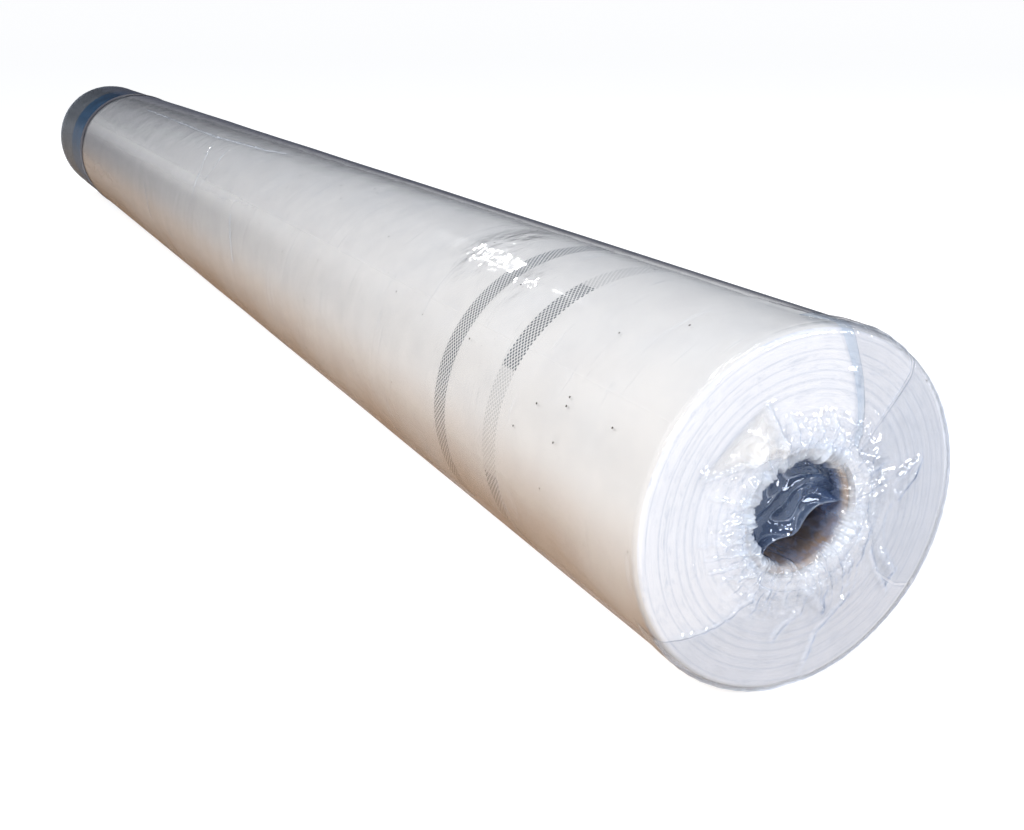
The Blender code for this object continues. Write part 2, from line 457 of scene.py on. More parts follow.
def turn_edge_finish():
    """White edges painted a little cool, with finer grey rings of painted shade in the gaps where
    the turns lie looser.
    """
    material, tree, output, place = start_material("membrane_turn_edges")
    radius = from_axis(tree, place)
    wobble = noise_at(tree, place, 30, 2.0)
    drift = calc(tree, "MULTIPLY_ADD", wobble, 2 * mean_drift, radius)
    values = {0: drift, 1: product(tree, wobble, 0.02)}
    ring_place = wire(tree, "ShaderNodeCombineXYZ", values).outputs[0]
    fine = noise_at(tree, ring_place, 3200, 2.0, 0.8)
    broad = noise_at(tree, ring_place, 420, 3.0, 0.7)
    dark = ramp(tree, broad, 0.45, 0.80)
    for band_radius, half_band in looser_bands:
        away = off_middle(tree, drift, band_radius + mean_drift)
        dark = calc(tree, "MAXIMUM", dark, ramp(tree, away, 0.0, half_band, 0.7, 0.0))
    lines = product(tree, ramp(tree, fine, 0.42, 0.62, 1.0, 0.15), dark, 0.72)
    colour = blend_colour(tree, lines, edge_white_painted_cool, painted_gap_shade)
    height = calc(tree, "MULTIPLY_ADD", broad, 2.0, fine)
    bump = bump_of(tree, 0.5, 0.3 * millimetre, height)
    end_plain(tree, output, colour, 0.85, bump, sheet_gloss)
    return material


turns_profile = end_face(1) + list(reversed(end_face(-1)))
turns_form = spin_profile(turns_profile, ring_steps, closed=True)
press_flat(turns_form)
place_piece(
    "wound_turns", turns_form, turn_edge_finish(), ["membrane_inner_turns"], 60
)

# %% [markdown]
# ## The outer layer
#
# The last turn is the one that shows, with the sheet's free edge lengthwise on the far
# side. A plain tube would hide that edge, so the layer is wound: a strip's cross line is
# extruded step by step, and each step is turned about the axis and moved out by its share
# of one turn's pitch. The sheet is as thin as the real one, so its wall comes last.

# %% Wind the outer layer
sheet_thickness = 0.28 * millimetre
turn_pitch = 0.73 * millimetre
layer_turns = 1.15
layer_steps = 200
band_waist = 0.6 * millimetre
layer_inset = 0.15 * millimetre


def layer_stations():
    """Places along the sheet, and how far it is drawn in by its edges' curl and the band."""
    curl = 0.8 * millimetre
    near_end = layer_high[0]
    straight = near_end - 2.5 * millimetre
    stations = [(-near_end, curl), (-near_end + curl, 0.3 * curl), (-straight, 0)]
    stations += [(band_low[0] - 6 * millimetre, 0), (band_low[0], band_waist)]
    stations += [(band_high[0], band_waist), (band_high[0] + 6 * millimetre, 0)]
    stations += [(straight, 0), (near_end - curl, 0.3 * curl), (near_end, curl)]
    return stations


def wind_layer():
    """The strip's cross line, wound step by step round the axis and outwards."""
    form = bmesh.new()
    steps = round(layer_turns * layer_steps)
    radius = layer_radius - layer_inset - layer_turns * turn_pitch
    start = tail_angle - layer_turns * 2 * math.pi
    points = []
    for x, inset in layer_stations():
        reach = radius - inset
        points.append(form.verts.new(round_place(x, reach, start)))
    edges = [form.edges.new(pair) for pair in zip(points, points[1:])]
    step_turn = Matrix.Rotation(2 * math.pi / layer_steps, 3, "X")
    for index in range(steps):
        made = bmesh.ops.extrude_edge_only(form, edges=edges)["geom"]
        moved = [item for item in made if isinstance(item, bmesh.types.BMVert)]
        edges = [item for item in made if isinstance(item, bmesh.types.BMEdge)]
        bmesh.ops.rotate(form, cent=(0, 0, axis_height), matrix=step_turn, verts=moved)
        angle = start + (index + 1) * 2 * math.pi / layer_steps
        outward = Vector((0, math.cos(angle), math.sin(angle)))
        bmesh.ops.translate(form, vec=outward * turn_pitch / layer_steps, verts=moved)
    bmesh.ops.recalc_face_normals(form, faces=form.faces)
    return form


layer_form = wind_layer()
press_flat(layer_form)
outer_layer = place_piece(
    "outer_layer", layer_form, printed_membrane, ["membrane_outer_turns"], 60
)
wall = outer_layer.modifiers.new("sheet_wall", "SOLIDIFY")
wall.thickness = sheet_thickness
wall.offset = 0

# %% [markdown]
# ## The cardboard core
#
# The core is wound from strips of brown board, so its wall shows a slanting seam every
# few centimetres and short grey fibres. It only shows deep inside the bore, under film,
# but a brown ring there is what tells the eye that this is a core and not a hole.

# %% The core
board_dark = (0.30, 0.185, 0.10, 1)
board_light = (0.50, 0.345, 0.21, 1)
board_blotch = (0.40, 0.30, 0.21, 1)
board_seam = (0.12, 0.075, 0.045, 1)
seam_pitch = 70 * millimetre


def cardboard_finish():
    """Brown board with fibres, blotches and a slanting seam."""
    material, tree, output, place = start_material("core_board")
    fibre_place = stretch(tree, place, (0.2, 1, 1))
    fibres = noise_at(tree, fibre_place, 700, 4.0, 0.7)
    blotch = noise_at(tree, place, 60, 3.0)
    colour = blend_colour(tree, fibres, board_dark, board_light)
    colour = blend_colour(tree, product(tree, blotch, 0.4), colour, board_blotch)
    along, round_it = unrolled(tree, place)
    strip = calc(tree, "MULTIPLY_ADD", round_it, 0.22, along)
    seam = calc(tree, "FRACT", calc(tree, "DIVIDE", strip, seam_pitch))
    groove = ramp(tree, off_middle(tree, seam, 0.5), 0.0, 0.02, 0.6, 0.0)
    colour = blend_colour(tree, groove, colour, board_seam)
    end_plain(tree, output, colour, 0.9, bump_of(tree, 0.4, 0.3 * millimetre, fibres))
    return material


def core_profile():
    """The tube's section, with soft edges where the saw left the board a little fuzzy."""
    soft = 0.6 * millimetre
    bore = core_radius - core_wall
    outside = [(-core_end, core_radius - soft), (-core_end + soft, core_radius)]
    outside += [(core_end - soft, core_radius), (core_end, core_radius - soft)]
    inside = [(core_end, bore + soft), (core_end - soft, bore)]
    inside += [(-core_end + soft, bore), (-core_end, bore + soft)]
    return [(x, radius, 0) for x, radius in outside + inside]


place_piece(
    "core_tube", spin_profile(core_profile(), 96, closed=True), cardboard_finish(),
    ["cardboard_core"],
)

# %% [markdown]
# ## The tapes
#
# A band of blue packing tape holds the sheet's tail down. It is drawn tight, so it lies
# in a shallow waist, with tiny lengthwise puckers at its edges. Its ends lap, which shows
# as one small step. The strip that holds the sheet's first edge to the core lies under
# all the turns: its solid stays as it is and only gets its finish.

# %% The blue band and the hidden strip
def tape_finish(name, colour, dark, roughness):
    """Packing tape, with faint streaks along the roll."""
    material, tree, output, place = start_material(name)
    streak_place = stretch(tree, place, (0.15, 1, 1))
    streaks = noise_at(tree, streak_place, 160, 4.0, 0.6)
    tint = blend_colour(tree, ramp(tree, streaks, 0.35, 0.7), colour, dark)
    end_plain(tree, output, tint, roughness, bump_of(tree, 0.25, 0.4 * millimetre, streaks))
    return material


def band_profile():
    """The tape's section: two long faces and square edges."""
    stations = 14
    low = band_high[1] - 0.15 * millimetre
    width = band_high[0] - band_low[0]
    places = [band_low[0] + width * step / stations for step in range(stations + 1)]
    outside = [(x, band_high[1], step / stations) for step, x in enumerate(places)]
    inside = [(x, low, step / stations) for step, x in enumerate(places)]
    return outside + inside[::-1]


band_form = spin_profile(band_profile(), ring_steps, closed=True)
band_way = band_form.verts.layers.float["way"]
band_pucker = 0.25 * millimetre
for point in band_form.verts:
    angle = angle_of(point)
    edge_share = abs(point[band_way] - 0.5) * 2
    spot = (math.cos(angle) * 14, math.sin(angle) * 14, point[band_way] * 2)
    lift = band_pucker * edge_share ** 3 * max(uneven(*spot), 0)
    point.co += Vector((0, math.cos(angle), math.sin(angle))) * lift
press_flat(band_form)
band_colours = ((0.06, 0.39, 0.78, 1), (0.10, 0.45, 0.82, 1))
blue_tape = tape_finish("blue_band_tape", *band_colours, 0.35)
place_piece("tape_band", band_form, blue_tape, ["blue_tape_band"])
strip_colours = ((0.60, 0.53, 0.38, 1), (0.50, 0.43, 0.29, 1))
strip_tape = tape_finish("start_strip_tape", *strip_colours, 0.5)
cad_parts["start_tape"].data.materials.clear()
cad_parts["start_tape"].data.materials.append(strip_tape)

# %% [markdown]
# ## The film's finish
#
# Shrunk film is nearly clear. What shows is its gloss, brighter where it is seen at a
# slant, a little blue-white haze where it is creased or lies double, and brown low down,
# where the roll has lain on the ground: dust, and also painted warm bounce light from the
# ground. So the graph mixes a transparent shader with a matt haze by a small amount, and
# lays gloss over both. Principled glass would bend the view and darken the sheet below,
# which thin film doesn't do. The Fresnel node would take the film's second wall for the
# inside of solid plastic and turn it into a mirror, so the gloss follows Layer Weight's
# Facing, to the fifth power, which is the same from both sides.

# %% The film's relief
gather_reach = 47 * millimetre
crinkled_barrel = ((198, 115, 34, 5.5), (148, 124, 22, 4.5))
crinkled_face = (
    (44, 113, 8, 4.0), (29, 112, 8, 4.0), (49, 155, 9, 4.0), (39, 145, 9, 4.0),
    (37, 197, 12, 4.0), (32, 218, 12, 4.5), (50, 195, 4, 4.0), (52, 70, 7, 4.0),
    (34, 80, 10, 4.0), (52, 321, 8, 4.0), (29, 345, 8, 4.0), (39, 284, 11, 4.0),
    (50, 8, 9, 3.5), (27, 130, 8, 4.5), (55, 169, 4, 3.5),
)


def barrel_place(from_end, degrees):
    """A place on the barrel: millimetres from the near end, and the angle."""
    x = half_width - from_end * millimetre
    return round_place(x, film_radius, math.radians(degrees))


def face_place(radius, degrees):
    """A place on the near face: millimetres from the axis, and the angle."""
    return round_place(film_face, radius * millimetre, math.radians(degrees))


crinkled_spots = [(barrel_place(*spot[:2]), *spot[2:]) for spot in crinkled_barrel]
crinkled_spots += [(face_place(*spot[:2]), *spot[2:]) for spot in crinkled_face]


def film_bump(tree, place, over_end):
    """Fine crinkles, strong over the end face and faint along the taut barrel."""
    pitch = ramp(tree, over_end, 0.0, 1.0, 85.0, 150.0)
    crinkle = noise_at(tree, place, pitch, 2.0, 0.5)
    soft = noise_at(tree, place, 22, 3.0, 0.5)
    radius = from_axis(tree, place)
    inwards = ramp(tree, radius, throat_radius, gather_reach, 3.0, 1.0)
    bore = ramp(tree, radius, throat_radius - millimetre, throat_radius + millimetre, 1.8, 0.0)
    crinkled = calc(tree, "MAXIMUM", product(tree, over_end, inwards), bore)
    for spot, reach, strength in crinkled_spots:
        edge = reach * millimetre
        near = ramp(tree, away_from(tree, place, spot), 0.3 * edge, edge, strength, 0.10)
        crinkled = calc(tree, "MAXIMUM", crinkled, near)
    height = calc(tree, "MULTIPLY_ADD", soft, 1.2, product(tree, crinkle, crinkled))
    return bump_of(tree, 0.4, 0.9 * millimetre, height)


def slant(tree, normal, power):
    """0 where a surface is seen face on, rising to 1 at a slant."""
    values = {"Blend": 0.5, "Normal": normal}
    facing = wire(tree, "ShaderNodeLayerWeight", values).outputs["Facing"]
    return calc(tree, "POWER", facing, power)


def end_share(tree, place, radius):
    """1 over the end faces and in the bore, and 0 along the barrel."""
    reach = calc(tree, "ABSOLUTE", axes_of(tree, place)[0])
    outer = ramp(tree, reach, half_width - 3.5 * millimetre, half_width - 0.2 * millimetre)
    rim = core_radius + 3 * millimetre
    return calc(tree, "MAXIMUM", outer, ramp(tree, radius, rim, rim + 3 * millimetre, 1.0, 0.0))


print("crinkled places:", len(crinkled_spots))

# %% [markdown]
# ## What covers the clear film
#
# The haze isn't even. It gathers in creases, grows where the film is bunched round the
# bore, and turns dark blue-grey on the layers that are tucked into it, which is painted
# shade of the bore. Each of these is a function of its own that gives a share of haze, and
# one function adds them up, with the dust, which is also painted warm bounce light, and a
# few specks of dirt on top. Low round the bore and at one place beside it the bunched haze
# is thinned, which is painted shade.

# %% Haze with painted shade, dust with painted bounce, and specks
haze_white = (0.80, 0.87, 0.97, 1)
# The bore blue below is painted shade: the haze of film in the bore is darkened and blued for the
# shade in there.
bore_shade_blue = (0.34, 0.44, 0.68, 1)
# The dust brown below is dust, and also painted warm bounce light from the ground low on the
# roll.
dust_and_bounce_brown = (0.46, 0.31, 0.20, 1)
speck_brown = (0.05, 0.035, 0.03, 1)
painted_shade_place = face_place(24, 22)


def tucked_share(tree, place, radius):
    """1 on the film that is tucked into the bore."""
    mouth = film_face - throat_curl
    reach = calc(tree, "ABSOLUTE", axes_of(tree, place)[0])
    deep = ramp(tree, reach, mouth - 1.5 * millimetre, mouth + 3 * millimetre, 1.0, 0.0)
    narrow = ramp(tree, radius, core_radius, core_radius + 2 * millimetre, 1.0, 0.0)
    return product(tree, deep, narrow)


def gathered_haze(tree, place, radius, over_end):
    """Haze in the fine creases of the gathered film, more towards the bore."""
    inwards = ramp(tree, radius, throat_radius, gather_reach, 1.0, 0.0)
    creased = ramp(tree, noise_at(tree, place, 210, 2.0, 0.7), 0.40, 0.66)
    return product(tree, creased, inwards, over_end, 0.16)


def bunched_haze(tree, place, radius, height):
    """Haze just round the bore, where the film lies in many layers, thinned as painted shade low
    down and at one place beside the bore.
    """
    outer = core_radius + 8 * millimetre
    bunched = ramp(tree, radius, core_radius - millimetre, outer, 0.34, 0.0)
    # Painted shade: less haze low round the bore and at one place beside it, so that the dark
    # under the film shows through.
    low = axis_height - 26 * millimetre
    lit = ramp(tree, height, low, low + 16 * millimetre, 0.25, 1.0)
    away = away_from(tree, place, painted_shade_place)
    outside_painted_shade = ramp(tree, away, 6 * millimetre, 15 * millimetre, 0.15, 1.0)
    return product(tree, bunched, lit, outside_painted_shade)


def tucked_haze(tree, place, tucked, height):
    """Haze in the folds of the tucked film, with little of it low down."""
    low = axis_height - 16 * millimetre
    upper = ramp(tree, height, low, low + 20 * millimetre, 0.05, 1.0)
    folds = ramp(tree, noise_at(tree, place, 75, 3.0), 0.38, 0.62, 0.12, 0.50)
    return product(tree, tucked, upper, folds)


def dust_and_painted_bounce(tree, place, height, dust_and_bounce, over_end):
    """Patches of dust low on the roll, also painted warm bounce light, with hardly any on the
    face.
    """
    patches = ramp(tree, noise_at(tree, place, 14, 4.0), 0.25, 0.75, 0.65, 1.25)
    low = ramp(tree, height, 18 * millimetre, 88 * millimetre, dust_and_bounce, 0.0)
    return product(tree, low, patches, ramp(tree, over_end, 0.0, 1.0, 1.0, 0.06))


def specks(tree, place):
    """1 on a few scattered specks of dirt."""
    cells = wire(tree, "ShaderNodeTexVoronoi", {"Vector": place, "Scale": 150.0}).outputs
    pick = wire(tree, "ShaderNodeSeparateColor", {0: cells["Color"]}).outputs[0]
    chosen = calc(tree, "GREATER_THAN", pick, 0.86)
    return product(tree, chosen, calc(tree, "LESS_THAN", cells["Distance"], 0.07))


def film_cover(tree, place, haze, white, dust_and_bounce, over_end, crease_and_highlight_haze, bore):
    """How much covers the film, in what colour, and how much of it is dust and painted warm
    bounce.
    """
    height, radius = axes_of(tree, place)[2], from_axis(tree, place)
    tucked = tucked_share(tree, place, radius)
    on_face = calc(tree, "SUBTRACT", over_end, tucked)
    pale = wire(tree, "ShaderNodeAttribute", {}, attribute_name="pale").outputs["Fac"]
    cloud = noise_at(tree, place, 38, 2.0, 0.65)
    drawn = noise_at(tree, stretch(tree, place, (0.12, 1, 1)), 24, 3.0, 0.6)
    milky = total(
        tree, ramp(tree, cloud, 0.35, 0.80, 0.75 * haze, 1.6 * haze),
        product(tree, pale, crease_and_highlight_haze), gathered_haze(tree, place, radius, over_end),
        product(tree, bunched_haze(tree, place, radius, height), on_face),
        tucked_haze(tree, place, tucked, height),
        product(tree, ramp(tree, drawn, 0.60, 0.72), 0.05),
    )
    dust_and_bounce_share = dust_and_painted_bounce(tree, place, height, dust_and_bounce, over_end)
    hazy, speck = total(tree, milky, dust_and_bounce_share), specks(tree, place)
    bluish = product(tree, tucked, calc(tree, "MULTIPLY_ADD", pale, -0.4, 0.95))
    colour = blend_colour(tree, bluish, white, bore)
    colour = blend_colour(tree, calc(tree, "DIVIDE", dust_and_bounce_share, hazy), colour, dust_and_bounce_brown)
    colour = blend_colour(tree, speck, colour, speck_brown)
    return calc(tree, "MAXIMUM", hazy, speck), colour, dust_and_bounce_share


print("gathered within", round(gather_reach * 1000), "mm of the axis")

# %% [markdown]
# ## The film's gloss
#
# Face on, the film mirrors a few hundredths of the light, and at a slant nearly all of it.
# A plain pale stage would then whiten it, but the real film's shine at a slant is dim:
# brown low down and grey higher up. So the mirrored light is tinted there by height, a
# painted reflection of the brown ground below and the darker surroundings above, and it
# is rougher on the dusty side than along the clean top.

# %% The film's finish
pure_white = (1, 1, 1, 1)
slant_tint = (0.74, 0.81, 0.92, 1)
# The three tints below are painted reflection: the film's shine at a slant, grey up high, brown
# low down and pale over the face.
painted_reflection_grey = (0.11, 0.115, 0.145, 1)
painted_reflection_brown = (0.34, 0.25, 0.185, 1)
painted_reflection_pale = (0.72, 0.76, 0.84, 1)
clean_roughness = 0.06
crinkled_patch = barrel_place(190, 118)


def painted_reflection_tint(tree, height, bump, over_end, painted_reflections, top):
    """The tint of mirrored light, a painted reflection: brown low, grey high, pale on the face.
    top is the range of slants that takes it on the top.
    """
    shade = blend_colour(tree, ramp(tree, height, 65 * millimetre, 100 * millimetre), *painted_reflections)
    shade = blend_colour(tree, over_end, shade, painted_reflection_pale)
    side = blend_colour(tree, slant(tree, bump, 0.7), pure_white, shade)
    slanting = ramp(tree, slant(tree, bump, 1.0), *top)
    upper = ramp(tree, height, 96 * millimetre, 114 * millimetre)
    return blend_colour(tree, upper, side, blend_colour(tree, slanting, pure_white, shade))


def gloss_roughness(tree, place, height, over_end):
    """Dull on the side, clean on the top and the face, and duller on one crinkled patch."""
    rough = ramp(tree, height, 108 * millimetre, 128 * millimetre, 0.34, clean_roughness)
    cleaner = calc(tree, "SUBTRACT", clean_roughness, rough)
    rough = calc(tree, "MULTIPLY_ADD", over_end, cleaner, rough)
    away = away_from(tree, place, crinkled_patch)
    patch = ramp(tree, away, 12 * millimetre, 40 * millimetre, 0.14, 0.0)
    return calc(tree, "MAXIMUM", rough, patch)


def film_finish(name, haze, tint, dust_and_bounce, front_gloss=0.04, painted_reflections=(painted_reflection_brown, painted_reflection_grey),
                top=(0.77, 0.94), white=haze_white, crease_and_highlight_haze=0.16, deep=None, bore=bore_shade_blue):
    """Clear film. deep is the tint at a slant of a film that lies in more than one layer."""
    material, tree, output, place = start_material(name)
    height = axes_of(tree, place)[2]
    over_end = end_share(tree, place, from_axis(tree, place))
    bump = film_bump(tree, place, over_end)
    amount, colour, dust_and_bounce_share = film_cover(
        tree, place, haze, white, dust_and_bounce, over_end, crease_and_highlight_haze, bore
    )
    if deep:
        thicker = slant(tree, bump, 3.0)
    else:
        thicker = product(tree, slant(tree, bump, 4.0), over_end)
    through = blend_colour(tree, thicker, tint, deep or slant_tint)
    clear = wire(tree, "ShaderNodeBsdfTransparent", {0: through})
    values = {"Color": colour, "Roughness": 0.5, "Normal": bump}
    body = mix_shaders(tree, amount, clear, wire(tree, "ShaderNodeBsdfDiffuse", values))
    shine = painted_reflection_tint(tree, height, bump, over_end, painted_reflections, top)
    rough = gloss_roughness(tree, place, height, over_end)
    values = {"Color": shine, "Roughness": rough, "Normal": bump}
    gloss = wire(tree, "ShaderNodeBsdfAnisotropic", values)
    share = calc(tree, "MULTIPLY_ADD", slant(tree, bump, 5.0), 1 - front_gloss, front_gloss)
    share = product(tree, share, ramp(tree, dust_and_bounce_share, 0.0, 0.3, 1.0, 0.15))
    surface = mix_shaders(tree, share, body, gloss)
    tree.links.new(surface.outputs[0], output.inputs[0])
    return material


clear_film = film_finish("shrunk_film", 0.035, (0.99, 0.99, 1.0, 1), 0.42)
print("film finish:", len(clear_film.node_tree.nodes), "nodes")

# %% [markdown]
# ## The film's way
#
# One line describes where the film runs: along the barrel, round the edge, down the face,
# round the core's rim and into the bore. A function gives the point and the outward
# direction for any distance along it, so the mesh can be dense where the film is creased
# and coarse where it is plain.

# %% The film's way
curl_length = edge_curl * math.pi / 2
face_length = film_radius - edge_curl - throat_radius - throat_curl
rim_length = throat_curl * math.pi / 2


def film_way(way):
    """Place along X, radius and outward turn of the film at a distance past the edge."""
    if way <= 0:
        return film_face - edge_curl + way, film_radius, 0.0
    if way <= curl_length:
        turn = way / edge_curl
        x = film_face - edge_curl + edge_curl * math.sin(turn)
        return x, film_radius - edge_curl + edge_curl * math.cos(turn), turn
    way -= curl_length
    if way <= face_length:
        return film_face, film_radius - edge_curl - way, math.pi / 2
    way -= face_length
    if way <= rim_length:
        turn = way / throat_curl
        x = film_face - throat_curl + throat_curl * math.cos(turn)
        return x, throat_radius + throat_curl - throat_curl * math.sin(turn), math.pi / 2 + turn
    return film_face - throat_curl - (way - rim_length), throat_radius, math.pi


def spaced(start, end, pitch):
    """Even distances from start up to, but not including, end."""
    count = max(1, round((end - start) / pitch))
    return [start + (end - start) * index / count for index in range(count)]


face_end = curl_length + face_length + rim_length
print("film way over the end, mm:", round(1000 * face_end, 1))

# %% [markdown]
# ## Creases
#
# A crease is a low ridge along a line, which is a short list of places. On the barrel a
# place is a distance from the near end and an angle, and on the face a radius and an
# angle. The ridge's height falls off to both sides and tapers at its ends, and noise
# breaks it up, because film never creases evenly.

# %% Ridges along lines
def line_lengths(line):
    """The length of each stretch of a line."""
    return [(after - before).length for before, after in zip(line, line[1:])]


def ridge(point, line, height, width):
    """The height of a broken ridge at a point, both in metres on a flat drawing."""
    best = 0.0
    lengths = line_lengths(line)
    whole = sum(lengths)
    if (point - line[0]).length > whole + 3 * width:
        return best
    passed = 0.0
    for before, after, length in zip(line, line[1:], lengths):
        share = max(0.0, min(1.0, (point - before).dot(after - before) / length ** 2))
        away = (point - before.lerp(after, share)).length
        if away < 3 * width:
            done = (passed + share * length) / whole
            taper = min(1.0, 6 * done, 6 * (1 - done))
            broken = 0.75 + 0.5 * uneven(done * 23, line[0].x * 90, 1)
            best = max(best, height * taper * broken * math.exp(-(away / width) ** 2))
        passed += length
    return best


def barrel_spot(from_end, degrees):
    """A place on the unrolled barrel, in metres: past the edge, and round the roll."""
    along = edge_curl - from_end * millimetre
    return Vector((along, math.radians(degrees) * film_radius))


def face_spot(radius, degrees):
    """A place on the face, as seen from outside the near end."""
    reach, angle = radius * millimetre, math.radians(degrees)
    return Vector((reach * math.cos(angle), reach * math.sin(angle)))


def crease_lines(spot, creases):
    """Creases with their places, heights and widths worked out in metres."""
    return [([spot(*place) for place in places], height * millimetre, width * millimetre)
            for height, width, *places in creases]


# %% [markdown]
# ## The creases of the photograph
#
# Each line below holds one crease: its height and width in millimetres, and then its
# places, each as millimetres and degrees. They were read from the photograph one by one,
# because their places are what makes this roll's wrapping look like itself.

# %% The creases
barrel_creases = crease_lines(barrel_spot, (
    (0.5, 1.2, (131, 174), (84, 195), (44, 204), (12, 214)),
    (0.35, 1.2, (98, 188), (55, 197)),
    (0.5, 1.6, (150, 108), (190, 119), (215, 125)),
    (0.6, 1.6, (160, 116), (185, 112), (230, 116)),
    (0.5, 1.4, (172, 122), (200, 124)),
    (0.4, 1.4, (134, 121), (146, 124), (150, 119)),
    (0.7, 1.3, (45, 86), (20, 84), (0, 82)),
))
face_creases = crease_lines(face_spot, (
    (0.8, 1.0, (70, 212), (64, 216), (56, 222), (47, 228), (29, 232)),
    (1.1, 1.1, (37, 331), (46.6, 322), (61, 317)),
    (1.2, 1.6, (42.6, 331.6), (58.3, 324.7)),
    (1.0, 1.0, (41.2, 7.3), (57.4, 15.1)),
    (1.0, 1.0, (41.2, 7.3), (45, 358.8), (51.9, 6.7), (57.4, 15.1)),
    (1.3, 1.0, (50.5, 113.4), (41, 113.5), (33, 111.6), (27, 109)),
    (1.3, 1.0, (52.8, 156.7), (45, 151), (37, 140), (31, 129.3)),
    (1.0, 0.9, (37.8, 84.8), (31.2, 80.5)),
    (1.0, 0.9, (41, 78.4), (29.3, 60.2)),
    (0.9, 0.9, (42, 104), (32, 101)),
    (0.9, 1.3, (66.6, 272.8), (50.3, 281.1), (43.4, 309.3)),
    (0.9, 1.5, (51.2, 256.1), (43.2, 261.1), (39.3, 273.5)),
    (1.3, 1.5, (27.9, 272.7), (37.4, 283), (44.3, 287.1)),
    (1.2, 1.3, (32.1, 302.1), (34.3, 319.8)),
    (1.0, 0.9, (46, 192), (30, 197), (22, 212)),
    (1.0, 0.9, (45, 199), (30.4, 206.9)),
    (1.1, 0.9, (41.2, 206.3), (27.3, 225.2)),
    (0.8, 0.9, (48, 184), (27, 188)),
    (0.8, 0.9, (47.2, 161.1), (24, 162.4)),
))
print("creases:", len(barrel_creases), "on the barrel,", len(face_creases), "on the face")

# %% [markdown]
# ## The film over the barrel and the near face
#
# The shrunk film is one tube. On the barrel it is taut, with only a few low creases. Over
# the face its width has to shrink to the bore's, so it gathers in pleats that deepen
# inwards and crumple in the bore. Cloth simulation could gather it, but heat shrinks film
# flat against the sheet, and only the last centimetres pleat, so the pleats are made
# from ridged noise: sharp crests, wide soft valleys.

# %% Pleats and crumple
pleats_round = 30
pleat_rise = 2.6 * millimetre
near_seed = 0.7
gathered_places = ((65, 30), (112, 24), (190, 34), (232, 26), (300, 26), (20, 24))


def smooth_share(value, low, high):
    """0 up to low, 1 from high on, and a smooth rise between them."""
    share = max(0.0, min(1.0, (value - low) / (high - low)))
    return share * share * (3 - 2 * share)


def gathered(angle, spots=gathered_places):
    """How strongly the film is gathered at an angle: it bunches at a few places."""
    strongest = 0.25
    for middle, spread in spots:
        away = abs((math.degrees(angle) - middle + 180) % 360 - 180)
        strongest = max(strongest, 1 - (away / spread) ** 2)
    return strongest


def on_ring(angle, seed, scale=1.0):
    """A place on a ring, where noise meets itself once round the roll."""
    return Vector((scale * math.cos(angle), scale * math.sin(angle), seed))


def crest(value):
    """A sharp crest at whole numbers and a soft valley between them."""
    return (1 - abs(2 * (value - math.floor(value)) - 1)) ** 2


def pleats(angle, radius, seed, spots=gathered_places):
    """The height of the radial pleats near the bore."""
    turned = angle / (2 * math.pi)
    ring = on_ring(angle, seed)
    wander = noise.noise(ring * 2.3 + Vector((0, 0, radius * 38)))
    first = crest(pleats_round * turned + 1.3 * wander)
    second = crest(2.37 * pleats_round * turned + 2.1 * wander + 7 * radius / film_radius)
    third = crest(3.67 * pleats_round * turned + 3.1 * wander + 11 * radius / film_radius)
    strength = 0.65 + 0.9 * noise.noise(ring * 4.1)
    rise = first * strength + 0.4 * second + 0.2 * third
    depth = 1 - smooth_share(radius, 27 * millimetre, 56 * millimetre)
    return pleat_rise * depth * depth * max(rise, 0) * gathered(angle, spots)


def crumple(spot, radius):
    """Sharp little folds where the film bunches round the bore."""
    rise = 0.0
    for scale, share in ((105, 1.0), (230, 0.5)):
        folded = 1 - abs(2.2 * uneven(spot.x * scale, spot.y * scale, 7.7))
        rise += share * max(folded, 0) ** 3
    inwards = 1 - smooth_share(radius, 26 * millimetre, 52 * millimetre)
    return 1.5 * millimetre * rise * inwards


def ridges(spot, creases):
    """The height of all the long creases of a face at one place."""
    return sum(1.3 * ridge(spot, *crease) for crease in creases)


def face_lift(way, angle, radius, seed, creases, spots=gathered_places):
    """How far the film stands off the end face."""
    ring = on_ring(angle, seed)
    lift = 0.35 * millimetre * max(0, noise.noise(ring * 3 + Vector((0, 0, radius * 60))))
    pucker = crest(64 * angle / (2 * math.pi) + 1.5 * noise.noise(ring * 3.3))
    at_edge = 1 - smooth_share(abs(way - 2 * millimetre), 0, 9 * millimetre)
    lift += 0.18 * millimetre * pucker * at_edge
    spot = Vector((radius * math.cos(angle), radius * math.sin(angle)))
    lift += pleats(angle, radius, seed, spots) + crumple(spot + Vector((seed, 0)), radius)
    return lift + ridges(spot, creases)


# %% [markdown]
# ## The film off the face
#
# Along the barrel the film is taut and only undulates a little, with the low creases. The
# far wrap lies looser than the shrunk film. At the edge it stands off a little on the side
# that faces away, and in the bore it hangs in from the wall in soft folds. One function
# then moves every point of a spun film by the part of these that belongs to its place, and
# keeps in each point how pale it is creased, which the finish reads.

# %% Barrel, edge and bore
crumple_rise = 6.0 * millimetre
rim_reach = 12 * millimetre


def barrel_lift(way, angle):
    """How far the shrunk film stands off along the barrel."""
    x = film_face - edge_curl + way
    across, up = math.cos(angle), math.sin(angle)
    lift = 0.22 * millimetre * uneven(x * 11, across * 1.6, up * 1.6)
    lift += 0.10 * millimetre * uneven(x * 4, across * 7, up * 7)
    spot = Vector((way, angle * film_radius))
    return lift + sum(ridge(spot, *crease) for crease in barrel_creases)


def far_barrel_lift(way, angle):
    """The far wrap lies a little looser than the shrunk film."""
    ring = on_ring(angle, 3.3)
    lift = 0.30 * millimetre * max(0, noise.noise(ring * 2.5 + Vector((way * 20, 0, 0))))
    return lift + 0.12 * millimetre * max(0, noise.noise(ring * 8 + Vector((way * 60, 0, 0))))


